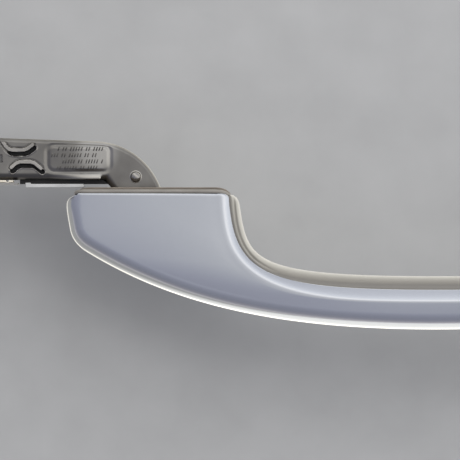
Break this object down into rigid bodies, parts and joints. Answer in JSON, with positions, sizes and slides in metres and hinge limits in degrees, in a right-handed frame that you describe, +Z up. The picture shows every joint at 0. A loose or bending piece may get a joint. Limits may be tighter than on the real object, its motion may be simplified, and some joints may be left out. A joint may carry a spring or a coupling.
{
  "type": "car door handle",
  "caption": "Bow-shaped outside door handle on a hinged steel arm, with its hinge bracket and the spring-loaded release lever it pulls.",
  "frame": {"origin": "midway between the two bolts of the hinge bracket, on the bracket's face against the inside of the door skin", "axes": "+X from the hinge end towards the pull end, -Y out of the door, +Z up along the hinge axis"},
  "size_m": [0.306, 0.0881, 0.057],
  "materials": {
    "grip_shell": "silver-lilac metallic paint under clear lacquer",
    "grip_liner": "fine-grained taupe moulding",
    "inner_frame": "black glass-filled nylon",
    "foot_cap": "warm grey moulding",
    "foot_seal": "brown-grey soft rubber",
    "cover_screws": "satin, zinc plated",
    "hinge_arm": "pressed, satin grey passivated",
    "arm_rivets": "satin",
    "arm_glide": "pale acetal",
    "hinge_pin": "satin, zinc plated",
    "pull_hook": "satin, zinc plated",
    "hook_dowels": "satin, zinc plated",
    "hinge_bracket": "satin grey passivated",
    "hinge_bush": "sintered bronze",
    "arm_rest_pad": "cream nylon",
    "rear_carrier": "black glass-filled nylon",
    "hook_guide": "natural acetal",
    "lever_pin": "satin, zinc plated",
    "lever_pin_clip": "blued spring steel",
    "lever_spring": "blued spring wire",
    "stop_buffer": "black rubber",
    "release_lever": "die-cast zinc, black coated",
    "lever_cross_pin": "satin, zinc plated",
    "counterweight": "cast, phosphated",
    "rod_clip": "cream acetal"
  },
  "bodies": {
    "door_mounts": {"hinge_bracket": "hinge_bracket", "hinge_bush": "hinge_bush", "arm_rest_pad": "arm_rest_pad", "rear_carrier": "rear_carrier", "hook_guide": "hook_guide", "lever_pin": "lever_pin", "lever_pin_clip": "lever_pin_clip", "lever_spring": "lever_spring", "stop_buffer": "stop_buffer"},
    "handle": {"grip_shell": "grip_shell", "grip_liner": "grip_liner", "inner_frame": "inner_frame", "front_foot_cap": "foot_cap", "front_foot_seal": "foot_seal", "rear_foot_cap": "foot_cap", "rear_foot_seal": "foot_seal", "cover_screws": "cover_screws", "hinge_arm": "hinge_arm", "arm_rivets": "arm_rivets", "arm_glide": "arm_glide", "hinge_pin": "hinge_pin", "pull_hook": "pull_hook", "hook_dowels": "hook_dowels"},
    "lever": {"release_lever": "release_lever", "lever_cross_pin": "lever_cross_pin", "counterweight": "counterweight", "rod_clip": "rod_clip"}
  },
  "joints": [
    {"name": "handle_pull", "type": "hinge", "parent": "door_mounts", "child": "handle", "pos_m": [0.038, 0.0086, 0], "axis": [0, 0, -1], "range_deg": [0, 7], "stiffness_Nm_per_rad": 4, "springref_deg": -6.88},
    {"name": "lever_turn", "type": "hinge", "parent": "door_mounts", "child": "lever", "pos_m": [0.267, 0.0213, 0], "axis": [0, 0, 1], "range_deg": [0, 57.8]}
  ],
  "couplings": [
    {"joint": "lever_turn", "follows": "handle_pull", "ratio": 8.25}
  ]
}
